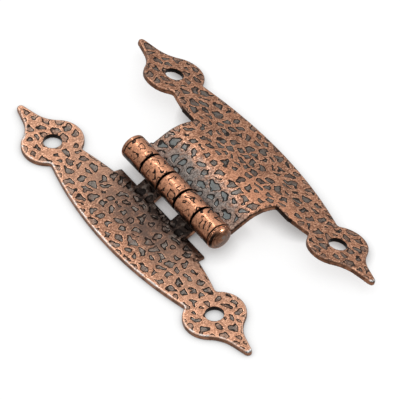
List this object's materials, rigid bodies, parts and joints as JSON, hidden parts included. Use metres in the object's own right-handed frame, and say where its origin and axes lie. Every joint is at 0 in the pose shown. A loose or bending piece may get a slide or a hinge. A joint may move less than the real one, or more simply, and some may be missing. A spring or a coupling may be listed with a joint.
{
  "type": "butt hinge",
  "caption": "Surface butt hinge for a lipped cabinet door: two stamped leaves with spade-shaped ends, hammered antique copper finish, rolled knuckles and a headed pin.",
  "frame": {"origin": "on the back face of the frame leaf, midway between its two screw holes", "axes": "+Z out of the mounting face towards the room, +Y along the pin and the row of screw holes towards the pin's low head, +X from the frame leaf to the door leaf"},
  "size_m": [0.0503, 0.0958, 0.0086],
  "materials": {
    "leaf_sheet": "stamped sheet steel, hammered pattern, antique copper plated and lacquered, dark in the recesses, polished on the edges",
    "pin_metal": "smooth antique copper plated steel wire, headed"
  },
  "bodies": {
    "frame": {"frame_leaf": "leaf_sheet"},
    "door": {"door_leaf": "leaf_sheet", "hinge_pin": "pin_metal"}
  },
  "joints": [
    {"name": "leaf_swing", "type": "hinge", "parent": "frame", "child": "door", "pos_m": [0.01245, 0, 0.00535], "axis": [0, -1, 0], "range_deg": [0, 190]}
  ]
}
